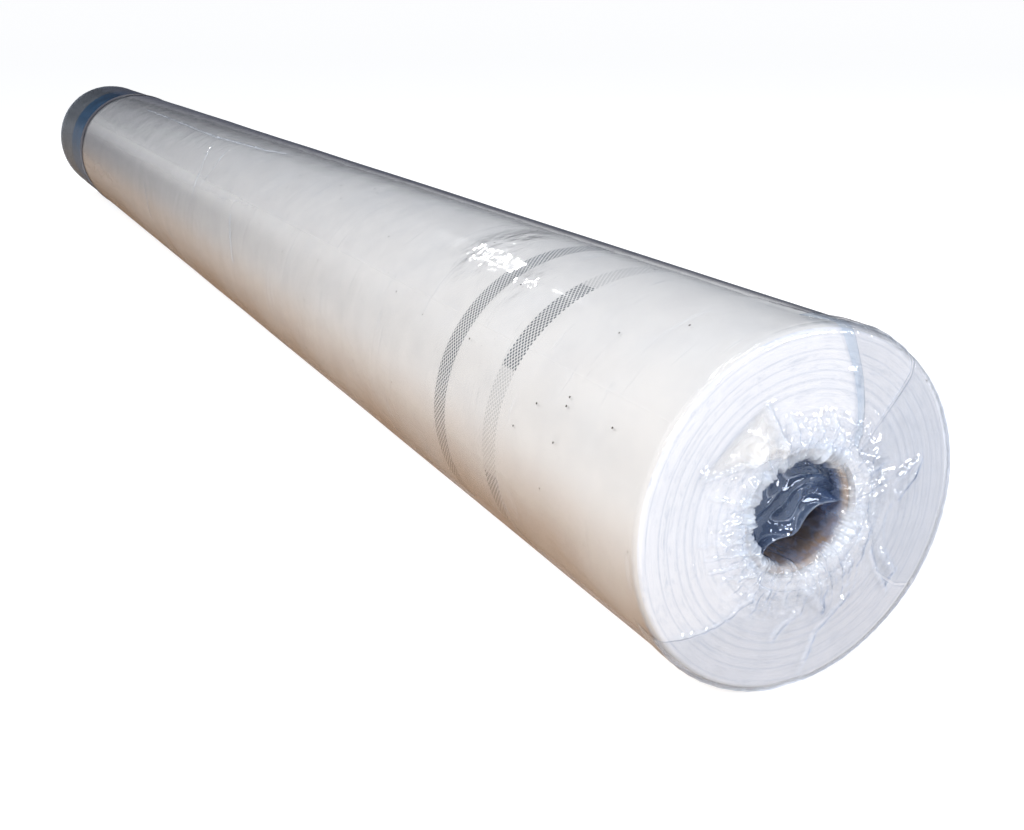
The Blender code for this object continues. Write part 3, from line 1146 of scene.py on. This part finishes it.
def rim_puff(way, angle):
    """The film stands a little off the edge on the side that faces away."""
    window = math.exp(-((way - curl_length / 2) / (3.5 * millimetre)) ** 2)
    return 1.4 * millimetre * window * max(0.0, math.cos(angle)) ** 2


def throat_lift(way, angle, seed):
    """How far the crumpled film hangs in from the wall of the bore."""
    depth = way - face_end
    ring = on_ring(angle, seed, 2.6)
    folds = 1 - abs(2 * noise.noise(ring + Vector((depth * 55, depth * 22, 0))))
    fine = 1 - abs(2 * noise.noise(ring * 2.9 + Vector((depth * 120, 0, 4))))
    share = 0.35 + 0.65 * smooth_share(depth, 0.0, 30 * millimetre)
    return crumple_rise * share * (0.75 * max(folds, 0) ** 3 + 0.45 * max(fine, 0) ** 4)


def shape_film(form, side, seed, creases, spots=gathered_places):
    """Moves every point of a spun film out by its wrinkles. side is 1 at the near end."""
    layer = form.verts.layers.float["way"]
    pale = form.verts.layers.float.new("pale")
    lift_there = barrel_lift if side > 0 else far_barrel_lift
    for point in form.verts:
        way = point[layer]
        x, radius, turn = film_way(way)
        angle = angle_of(point) % (2 * math.pi)
        lift = lift_there(way, angle) if way <= 0 else 0
        if way > -rim_reach:
            near_rim = smooth_share(way, -rim_reach, 2 * millimetre)
            lift += near_rim * face_lift(way, angle, radius, seed, creases, spots)
            spot = Vector((radius * math.cos(angle), radius * math.sin(angle)))
            point[pale] = min(1, ridges(spot, creases) / millimetre)
        lift += rim_puff(way, angle)
        if way > face_end - rim_length:
            share = smooth_share(way, face_end - rim_length, face_end + 4 * millimetre)
            lift = (1 - share) * lift + share * (throat_lift(way, angle, seed) + 0.3 * lift)
        far = side * (x + lift * math.sin(turn))
        point.co = round_place(far, radius + lift * math.cos(turn), angle)
    press_flat(form)


# %% [markdown]
# ## Make the near film
#
# The distances along the film's way are packed tightly over the face, where the creases
# are, and widely along the plain barrel. The thin wall is added last, by a modifier. Its
# rim would bend the smooth shading of the last stretch, so the film has a few points close
# together at both open ends, and the bent stretch is too short to see.

# %% Make the near film
film_steps = 360
near_tuck = 45 * millimetre
open_end = (0, 0.3 * millimetre, 1.2 * millimetre)
near_barrel = -100 * millimetre
near_edge = -14 * millimetre


def film_profile(start, tuck, pitches):
    """Points along the film's way, from a place on the barrel into the bore."""
    barrel_pitch, near_pitch, face_pitch = (pitch * millimetre for pitch in pitches)
    end = face_end + tuck
    ways = [start + step for step in open_end]
    ways += spaced(start + 3 * millimetre, near_barrel, barrel_pitch)
    ways += spaced(near_barrel, near_edge, near_pitch)
    ways += spaced(near_edge, curl_length, 1.6 * millimetre)
    ways += spaced(curl_length, curl_length + face_length, face_pitch)
    ways += spaced(curl_length + face_length, face_end, 1.1 * millimetre)
    ways += spaced(face_end, end, 2.4 * millimetre) + [end - 0.3 * millimetre, end]
    return [(*film_way(way)[:2], way) for way in ways]


def place_film(name, form, finish, replaced=()):
    """Puts a film into the scene and gives it its thin wall."""
    piece = place_piece(name, form, finish, replaced, 180)
    wall = piece.modifiers.new("film_wall", "SOLIDIFY")
    wall.thickness = film_thickness
    wall.offset = -1
    return piece


sleeve_start = sleeve_low[0] - (film_face - edge_curl)
near_profile = film_profile(sleeve_start, near_tuck, pitches=(45, 6, 0.9))
near_form = spin_profile(near_profile, film_steps, closed=False)
shape_film(near_form, 1, near_seed, face_creases)
near_film = place_film(
    "shrunk_film_near", near_form, clear_film, ["film_sleeve", "near_end_film"]
)

# %% [markdown]
# ## The weld and the drag creases
#
# The film's weld runs lengthwise near the top as a crinkled pale thread, and a few thin
# creases run slantwise round the far half, where the film was dragged over the roll. They
# are too narrow for the film's own mesh, which is wide along the plain barrel. So each is
# a narrow ribbon that lies on the film and follows a line given by places on the barrel.

# %% Ribbons along the barrel
ribbon_film = film_finish("creased_ribbon", 0.30, (0.99, 0.99, 1.0, 1), 0.3, 0.06)
ribbon_lines = {
    "film_weld": (1.5, 0.8, 3, (
        (1150, 108.3), (980, 108.6), (780, 109.7), (634, 104.6), (575, 97.6))),
    "film_crease_one": (0.5, 0.4, 2, ((756, 116), (713, 139), (696, 159))),
    "film_crease_two": (0.4, 0.3, 2, ((705, 115), (683, 135), (687, 147))),
    "film_crease_three": (0.7, 0.5, 2, ((577, 153), (556, 170), (547, 180))),
    "film_crease_four": (0.5, 0.4, 2, ((890, 165), (872, 180), (862, 192))),
}


def line_place(line, share):
    """The place and direction at a share of the way along a line on the unrolled barrel."""
    lengths = line_lengths(line)
    left = share * sum(lengths)
    for before, after, length in zip(line, line[1:], lengths):
        if left <= length or after is line[-1]:
            return before.lerp(after, left / length), (after - before) / length
        left -= length


def make_ribbon(name, width, rise, pitch, places):
    """A narrow grid along a line. Its width, rise and pitch are in millimetres."""
    line = [barrel_spot(*place) for place in places]
    rows = round(sum(line_lengths(line)) / (pitch * millimetre))
    form = bmesh.new()
    bmesh.ops.create_grid(form, x_segments=2, y_segments=rows, size=0.5)
    for point in form.verts:
        side, share = 2 * point.co.x, point.co.y + 0.5
        spot, along = line_place(line, share)
        taper = millimetre * max(0.1, min(1.0, 8 * share, 8 * (1 - share)))
        wander = 0.7 * millimetre * uneven(spot.x * 60, spot.y * 120, 3)
        wide = taper * width * (0.55 + 0.8 * abs(uneven(spot.x * 170, spot.y * 500, 8)))
        crinkle = taper * rise * (0.5 + abs(2 * uneven(spot.x * 240, spot.y * 800, 5)))
        spot = spot + Vector((-along.y, along.x)) * (side * wide + wander)
        angle = spot.y / film_radius
        lift = barrel_lift(spot.x, angle) + 0.05 * millimetre + (1 - abs(side)) * crinkle
        point.co = round_place(film_face - edge_curl + spot.x, film_radius + lift, angle)
    form.normal_update()
    return place_piece(name, form, ribbon_film, [], 180)


ribbons = [make_ribbon(name, *values) for name, values in ribbon_lines.items()]

# %% [markdown]
# ## Folds that lie over the face
#
# Where the tube had too much width it was folded over, so a doubled tongue of film runs
# from the edge to the bore. It looks bluer, and its borders show as bright threads. One
# more tongue, on the right of the face, is no fold but a grey sheet of painted shade, for
# the darker reflection on that side. Each tongue is a grid laid on the film's way between
# two borders, lifted a little clear.

# %% Tongues of doubled film
# borders are (millimetres past the edge, degrees)
upper_left = ((-32, 97), (0, 84), (12, 76), (22, 68), (34, 57), (42, 50))
upper_right = ((-32, 62), (0, 52), (8, 47), (20, 45.5), (32, 44), (42, 41))
lower_left = ((-10, 206), (0, 210), (10, 217), (22, 225), (34, 232), (44, 234))
lower_right = ((-10, 330), (0, 326), (12, 321), (26, 320), (36, 334), (44, 352))


def turned_by(border, degrees):
    """A border turned a little about the roll's axis."""
    return tuple((way, angle + degrees) for way, angle in border)


def border_angle(border, way):
    """The angle of a tongue's border, read between its places."""
    for (start, before), (end, after) in zip(border, border[1:]):
        if way <= end:
            share = max(0.0, (way - start) / (end - start))
            return math.radians(before + (after - before) * share)
    return math.radians(border[-1][1])


def under_lift(way, angle, radius):
    """How far the near film stands off where something lies over it."""
    if way <= 0:
        return barrel_lift(way, angle)
    return face_lift(way, angle, radius, near_seed, face_creases)


def make_tongue(name, finish, left, right, ways, lift, cells):
    """A grid between two borders. Its ways along the film and its lift are in millimetres."""
    form = bmesh.new()
    bmesh.ops.create_grid(form, x_segments=cells[0], y_segments=cells[1], size=0.5)
    for point in form.verts:
        across = point.co.x + 0.5
        way_mm = ways[0] + (point.co.y + 0.5) * (ways[1] - ways[0])
        way = way_mm * millimetre
        angle = border_angle(left, way_mm) * (1 - across)
        angle += border_angle(right, way_mm) * across
        x, radius, turn = film_way(way)
        wave = uneven(across * 3, way * 120, 9) + uneven(across * 9, way * 300, 2)
        edge = max(0.0, 1 - 14 * min(across, 1 - across))
        clear = 0.25 + (0.5 + 0.25 * wave) * (1 - edge)
        rise = under_lift(way, angle, radius) + lift * millimetre * clear
        far = x + rise * math.sin(turn)
        point.co = round_place(far, radius + rise * math.cos(turn), angle)
    bmesh.ops.recalc_face_normals(form, faces=form.faces)
    press_flat(form)
    return place_film(name, form, finish)


upper_fold = turned_by(upper_left, -4.5)
right_left, right_right = turned_by(upper_right, -1.2), turned_by(lower_right, -358.8)
doubled_film = film_finish("doubled_film", 0.06, (0.925, 0.953, 0.985, 1), 0.05)
lower_film = film_finish("doubled_clear_film", 0.045, (0.995, 0.995, 1.0, 1), 0.05, 0.02)
# The grey film below is painted shade: a sheet laid over the right of the face for the darker
# reflection there, not a real fold.
painted_shade_film = film_finish("painted_shade_sheet", 0.02, (0.962, 0.967, 0.978, 1), 0.05)
tongues = [make_tongue(*values) for values in (
    ("film_tongue_upper", lower_film, upper_fold, upper_right, (-10, 43), 0.8, (44, 80)),
    ("film_fold_upper", doubled_film, upper_left, upper_fold, (-10, 42), 0.8, (12, 80)),
    ("film_painted_shade_right", painted_shade_film, right_left, right_right, (-6, 43), 0.5, (90, 60)),
    ("film_tongue_lower", lower_film, lower_left, lower_right, (-8, 44), 0.5, (150, 70)),
)]

# %% [markdown]
# ## A flat pleat
#
# To the upper left of the bore the film is pressed into a flat pleat, crinkled at its
# borders. It would take very fine cells in the film itself, so it is a small grid of its
# own, stretched between four corners on the face. Its middle is whitened with haze, which
# is a painted highlight: the bright reflection of the flat pleat.

# %% The flat pleat
painted_highlight_white = (0.97, 0.98, 1.0, 1)
painted_highlight_film = film_finish(
    "painted_highlight_film", 0.01, pure_white, 0.0, 0.02, white=painted_highlight_white, crease_and_highlight_haze=0.55
)
wedge_places = ((50.5, 113.4), (52.5, 156.3), (26.9, 109.2), (31.1, 129.3))
wedge_corners = [face_spot(*place) for place in wedge_places]


def make_wedge(name, corners, lift, finish):
    """A flat pleat on the face, between two outer corners and two inner ones."""
    form = bmesh.new()
    bmesh.ops.create_grid(form, x_segments=60, y_segments=60, size=0.5)
    pale = form.verts.layers.float.new("pale")
    for point in form.verts:
        across, inwards = point.co.x + 0.5, point.co.y + 0.5
        outer = corners[0].lerp(corners[1], across)
        spot = outer.lerp(corners[2].lerp(corners[3], across), inwards)
        radius, angle = spot.length, math.atan2(spot.y, spot.x)
        way = curl_length + film_radius - edge_curl - radius
        border = max(abs(2 * across - 1), abs(2 * inwards - 1))
        middle = 1 - border ** 4
        crinkle = max(0, uneven(spot.x * 400, spot.y * 400, 6)) * (1 - middle)
        patch = 0.75 + uneven(spot.x * 110, spot.y * 110, 2)
        # Painted highlight: pale is strongest in the pleat's middle, for the bright reflection it
        # throws.
        point[pale] = max(0, min(1, patch)) * (1 - border ** 2)
        rise = under_lift(way, angle, radius) + lift * (0.3 + 0.7 * middle + crinkle)
        point.co = Vector((film_face + rise, spot.x, axis_height + spot.y))
    bmesh.ops.recalc_face_normals(form, faces=form.faces)
    return place_film(name, form, finish)


tongues.append(make_wedge("film_pleat_left", wedge_corners, 0.6 * millimetre, painted_highlight_film))

# %% [markdown]
# ## Loose film across the bore
#
# Part of the tucked end has come loose and hangs crumpled across the upper half of the
# mouth, bluish in its layers, with its haze painted dark navy as painted shade of the bore.
# It is a grid from the rim of the bore to a chord, pushed in by noise. A bar or a hand
# pushes it aside, so no solid stands for it.

# %% The loose film
# The hanging blue below is painted shade: the loose film's haze is dark navy for the shade of the
# bore.
hanging_shade_blue = (0.075, 0.125, 0.235, 1)
bunched_film = film_finish(
    "bunched_film", 0.20, (0.60, 0.72, 0.92, 1), 0.0, crease_and_highlight_haze=0.35, bore=hanging_shade_blue
)


def make_bunch(name, start, end, finish):
    """A crumpled grid from the bore's rim, between two angles, to the chord between them."""
    form = bmesh.new()
    bmesh.ops.create_grid(form, x_segments=110, y_segments=70, size=0.5)
    pale = form.verts.layers.float.new("pale")
    rim_mm = throat_radius / millimetre
    first, last = face_spot(rim_mm, start), face_spot(rim_mm, end)
    for point in form.verts:
        round_share, in_share = point.co.x + 0.5, point.co.y + 0.5
        rim = face_spot(rim_mm, start + (end - start) * round_share)
        ragged = 0.88 + 0.22 * uneven(round_share * 2.6, 0, 4)
        spot = rim.lerp(first.lerp(last, round_share), in_share * ragged)
        folds = uneven(round_share * 3.2, in_share * 3, 3)
        fine = max(0, 1 - abs(2 * uneven(round_share * 3.5, in_share * 5, 8)))
        calm = 1 - 0.8 * in_share ** 2
        depth = 4.0 + 3.5 * math.sin(math.pi * in_share) + calm * (4.0 * folds + 1.6 * fine ** 4)
        # pale holds painted highlights: a web of pale crease lines, and a bright thread along the
        # rolled border.
        point[pale] = max(0.8 * fine ** 16, 0.35 * smooth_share(in_share, 0.95, 0.99))
        point.co = Vector((film_face - depth * millimetre, spot.x, axis_height + spot.y))
    bmesh.ops.recalc_face_normals(form, faces=form.faces)
    return place_film(name, form, finish)


tongues.append(make_bunch("film_bunch_in_bore", 2, 226, bunched_film))

# %% [markdown]
# ## The film round the far end
#
# A second length of film closes the far end. It is the same kind of film with a second
# layer in it, so it takes more light from what lies under it, most at a slant. It ends in
# a rolled hem, many layers thick, which lies right beside the blue band as a dark ring,
# painted near black as painted shade for the dark that its rolled layers make.

# %% The far film
# The far shades below are painted reflection: the far wrap's shine at a slant, painted near black
# for a dim surround.
far_painted_reflections = ((0.10, 0.085, 0.08, 1), (0.07, 0.075, 0.10, 1))
far_deep = (0.69, 0.72, 0.76, 1)
far_finish = film_finish(
    "far_wrap_film", 0.025, (0.93, 0.95, 0.97, 1), 0.22,
    painted_reflections=far_painted_reflections, top=(0.0, 0.8), deep=far_deep,
)
far_seed = 4.9
far_spots = ((40, 40), (140, 30), (250, 36), (320, 24))
far_tuck = 30 * millimetre
far_start = -(film_face - edge_curl + wrap_edge)
far_face_creases = crease_lines(face_spot, (
    (1.0, 1.4, (68, 24), (45, 30), (27, 28)),
    (1.0, 1.3, (68, 138), (46, 131), (27, 140)),
    (0.9, 1.5, (69, 246), (48, 252), (28, 244)),
))
far_profile = film_profile(far_start, far_tuck, pitches=(8, 4.5, 1.3))
far_form = spin_profile(far_profile, film_steps, closed=False)
shape_film(far_form, -1, far_seed, far_face_creases, far_spots)
bmesh.ops.reverse_faces(far_form, faces=far_form.faces)
far_film = place_film("wrapped_film_far", far_form, far_finish, ["far_film_wrap", "far_end_film"])

# %% The rolled hem
# The hem colours below are painted shade: near black for the dark that its rolled layers make.
hem_dark = (0.035, 0.033, 0.05, 1)
hem_light = (0.09, 0.085, 0.11, 1)
hem_points = 10
hem_half_height = 0.35 * millimetre
hem_half_width = 8 * millimetre
hem_middle = wrap_edge - 7.5 * millimetre
hem_wander = 1.4 * millimetre


def hem_finish():
    """Film in many layers, painted near black as painted shade, with streaks along the roll."""
    material, tree, output, place = start_material("rolled_hem_film")
    streaks = noise_at(tree, stretch(tree, place, (0.2, 1, 1)), 90, 4.0)
    end_plain(tree, output, blend_colour(tree, streaks, hem_dark, hem_light), 0.6)
    return material


hem_profile = []
for index in range(hem_points):
    turn = 2 * math.pi * index / hem_points
    hem_reach = film_radius + hem_half_height * (1 + math.sin(turn))
    hem_profile.append((hem_middle + hem_half_width * math.cos(turn), hem_reach, 0))
hem_form = spin_profile(hem_profile, film_steps, closed=True)
for point in hem_form.verts:
    point.co.x += hem_wander * noise.noise(on_ring(angle_of(point), seed=1, scale=2))
press_flat(hem_form)
hem = place_piece("rolled_hem", hem_form, hem_finish(), [])

# %% [markdown]
# ## The stage
#
# The floor is pale and runs up behind the roll in a gentle sweep, so that it fills the
# view. Its own colour is a warm sand white, which sends warm light up under the roll. A
# little light of its own lifts it towards white where the camera, a mirror or glass sees
# it, and it keeps the shadow.

# %% Floor
sand_dark = (0.74, 0.64, 0.52, 1)
sand_light = (0.77, 0.67, 0.56, 1)
seen_grey = (0.55, 0.55, 0.55, 1)
floor_glow = 0.80


def floor_finish():
    """Warm where it lights the roll, and paler where it is looked at."""
    material, tree, output, place = start_material("studio_floor")
    grain = noise_at(tree, place, 3.0, 2.0)
    colour = blend_colour(tree, grain, sand_dark, sand_light)
    matt = wire(tree, "ShaderNodeBsdfDiffuse", {"Color": colour})
    pale = wire(tree, "ShaderNodeBsdfDiffuse", {"Color": seen_grey})
    glow = wire(tree, "ShaderNodeEmission", {"Color": pure_white, "Strength": floor_glow})
    seen = wire(tree, "ShaderNodeAddShader", {0: pale.outputs[0], 1: glow.outputs[0]})
    path = tree.nodes.new("ShaderNodeLightPath").outputs
    direct = calc(tree, "MAXIMUM", path["Is Camera Ray"], path["Is Glossy Ray"])
    direct = calc(tree, "MAXIMUM", direct, path["Is Transmission Ray"])
    tree.links.new(mix_shaders(tree, direct, matt, seen).outputs[0], output.inputs[0])
    return material


def make_floor():
    """A wide disc whose rim is pulled up into a low sweep."""
    form = bmesh.new()
    bmesh.ops.create_circle(form, cap_ends=True, segments=96, radius=5)
    for reach, rise in ((1.2, 0.05), (1.12, 0.25), (1.06, 0.6)):
        edges = [edge for edge in form.edges if edge.is_boundary]
        made = bmesh.ops.extrude_edge_only(form, edges=edges)["geom"]
        moved = [item for item in made if isinstance(item, bmesh.types.BMVert)]
        bmesh.ops.scale(form, vec=(reach, reach, 1), verts=moved)
        bmesh.ops.translate(form, vec=(0, 0, rise), verts=moved)
    mesh = bpy.data.meshes.new("floor")
    form.to_mesh(mesh)
    form.free()
    mesh.materials.append(floor_finish())
    mesh.shade_smooth()
    floor = bpy.data.objects.new("floor", mesh)
    bpy.context.scene.collection.objects.link(floor)
    floor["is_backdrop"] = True
    print("floor", len(mesh.polygons), "faces")


make_floor()

# %% [markdown]
# ## Light
#
# A large soft lamp to the left of the camera lights the barrel, and a cooler one in front
# of the near end lights the face. Two small ones put bright glints on the crinkled film:
# one beyond the near end for the face, and one beyond the far end for the barrel. The
# camera sees a white sky. For everything else the sky is a dim cool grey, which the film
# shows along the top.

# %% Lamps and sky
def add_softbox(name, place, target, size, power, colour):
    """A round lamp that faces a target. Its size is in metres and its power in watts."""
    lamp = bpy.data.lights.new(name, "AREA")
    lamp.shape = "DISK"
    lamp.size = size
    lamp.energy = power
    lamp.color = colour
    item = bpy.data.objects.new(name, lamp)
    item.location = place
    item.rotation_euler = (Vector(place) - Vector(target)).to_track_quat("Z", "Y").to_euler()
    bpy.context.scene.collection.objects.link(item)


near_end = (0.75, 0, 0.07)
lamp_warm, lamp_cool, lamp_plain = (1.0, 0.985, 0.96), (0.94, 0.965, 1.0), (1.0, 1.0, 1.0)
add_softbox("key_lamp", (1.2, -1.45, 1.35), (0.45, 0, 0.07), 1.0, 35, lamp_warm)
add_softbox("face_lamp", (2.2, 0.3, 0.95), near_end, 0.5, 12, lamp_cool)
add_softbox("face_glint_lamp", (2.25, 1.16, 0.20), near_end, 0.35, 10, lamp_plain)
add_softbox("glint_lamp", (-1.52, 0.12, 1.286), (0.5, 0, 0.1), 0.19, 6, lamp_plain)

sky = bpy.data.worlds.new("sky")
sky.use_nodes = True
sky_tree = sky.node_tree
sky_tree.nodes.clear()
dim_sky = {"Color": (0.86, 0.91, 1.0, 1), "Strength": 0.35}
white_sky = {"Color": pure_white, "Strength": 1.0}
skies = [wire(sky_tree, "ShaderNodeBackground", values) for values in (dim_sky, white_sky)]
seen = sky_tree.nodes.new("ShaderNodeLightPath").outputs["Is Camera Ray"]
backdrop = mix_shaders(sky_tree, seen, *skies)
wire(sky_tree, "ShaderNodeOutputWorld", {0: backdrop.outputs[0]})
bpy.context.scene.world = sky
print("lamps:", len(bpy.data.lights))

# %% [markdown]
# ## Sizes of the dressed roll
#
# The dressed roll has to fill the construction's box and no more, so both boxes are kept.

# %% Keep the sizes and finish
dressed_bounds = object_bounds()
boxes = {
    "cad": [[float(value) for value in corner] for corner in cad_bounds],
    "visual": [[float(value) for value in corner] for corner in dressed_bounds],
}
for corner in boxes["visual"]:
    print("dressed box, mm:", [round(1000 * value, 1) for value in corner])
